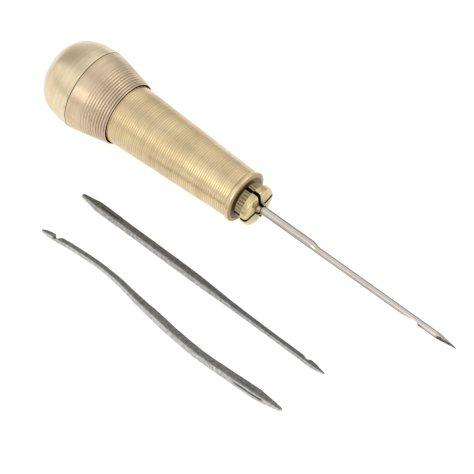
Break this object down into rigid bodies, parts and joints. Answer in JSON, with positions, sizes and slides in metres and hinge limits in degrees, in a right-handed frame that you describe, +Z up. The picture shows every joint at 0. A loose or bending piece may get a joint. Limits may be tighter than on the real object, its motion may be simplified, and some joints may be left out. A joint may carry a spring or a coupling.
{
  "type": "sewing awl",
  "caption": "Brass sewing awl with a domed turning head, tapered grip, draw-in collet and hooked needle, laid beside straight and curved spare needles.",
  "frame": {"origin": "on the table, under the middle of the box round the awl and its two spare needles", "axes": "+Z up from the table, +X from the awl's domed head towards its needle point, seen from above; the awl's axis slopes down towards the point because its head is thicker than its front end"},
  "size_m": [0.1584, 0.0658, 0.0281],
  "materials": {
    "dome_brass": "satin, softly polished",
    "skirt_brass": "satin with turned rings",
    "barrel_brass": "satin, finely turned",
    "bush_brass": "plain machined",
    "chuck_brass": "bright machined",
    "inner_steel": "plain machined",
    "needle_steel": "bright plated",
    "forged_steel": "dark, as forged"
  },
  "bodies": {
    "handle": {"barrel": "barrel_brass", "nose_bush": "bush_brass", "thrust_washer": "inner_steel", "retaining_ring": "inner_steel", "key_pin": "inner_steel"},
    "head": {"dome_cap": "dome_brass", "head_skirt": "skirt_brass", "draw_nut": "bush_brass"},
    "collet": {"collet_stem": "chuck_brass", "draw_rod": "inner_steel", "rod_pin": "inner_steel"},
    "jaw_1": {"jaw_1": "chuck_brass"},
    "jaw_2": {"jaw_2": "chuck_brass"},
    "jaw_3": {"jaw_3": "chuck_brass"},
    "jaw_4": {"jaw_4": "chuck_brass"},
    "needle": {"needle": "needle_steel"},
    "spare_straight": {"spare_needle_straight": "forged_steel"},
    "spare_curved": {"spare_needle_curved": "forged_steel"}
  },
  "joints": [
    {"name": "head_turn", "type": "hinge", "parent": "handle", "child": "head", "pos_m": [-0.06375, 0.01887, 0.01396], "axis": [-0.9964, 0, 0.0851], "range_deg": [0, 540]},
    {"name": "collet_draw", "type": "slide", "parent": "handle", "child": "collet", "axis": [0.9964, 0, -0.0851], "range_m": [0, 0.00151]},
    {"name": "jaw_1_spread", "type": "hinge", "parent": "collet", "child": "jaw_1", "pos_m": [-0.01968, 0.01527, 0.01292], "axis": [-0.0679, -0.6018, -0.7957], "range_deg": [0, 0.56]},
    {"name": "jaw_2_spread", "type": "hinge", "parent": "collet", "child": "jaw_2", "pos_m": [-0.02021, 0.01616, 0.00664], "axis": [-0.0512, 0.7986, -0.5996], "range_deg": [0, 0.56]},
    {"name": "jaw_3_spread", "type": "hinge", "parent": "collet", "child": "jaw_3", "pos_m": [-0.02014, 0.02246, 0.00752], "axis": [0.0679, 0.6018, 0.7957], "range_deg": [0, 0.56]},
    {"name": "jaw_4_spread", "type": "hinge", "parent": "collet", "child": "jaw_4", "pos_m": [-0.0196, 0.02158, 0.0138], "axis": [0.0512, -0.7986, 0.5996], "range_deg": [0, 0.56]},
    {"name": "needle_pull", "type": "slide", "parent": "collet", "child": "needle", "axis": [0.9964, 0, -0.0851], "range_m": [0, 0.0257]},
    {"name": "straight_needle_lift", "type": "slide", "parent": "handle", "child": "spare_straight", "axis": [0, 0, 1], "range_m": [0, 0.05]},
    {"name": "curved_needle_lift", "type": "slide", "parent": "handle", "child": "spare_curved", "axis": [0, 0, 1], "range_m": [0, 0.05]}
  ],
  "couplings": [
    {"joint": "collet_draw", "follows": "head_turn", "m_per_rad": 0.00015915},
    {"joint": "jaw_1_spread", "follows": "head_turn", "ratio": 0.0010185},
    {"joint": "jaw_2_spread", "follows": "head_turn", "ratio": 0.0010185},
    {"joint": "jaw_3_spread", "follows": "head_turn", "ratio": 0.0010185},
    {"joint": "jaw_4_spread", "follows": "head_turn", "ratio": 0.0010185}
  ]
}
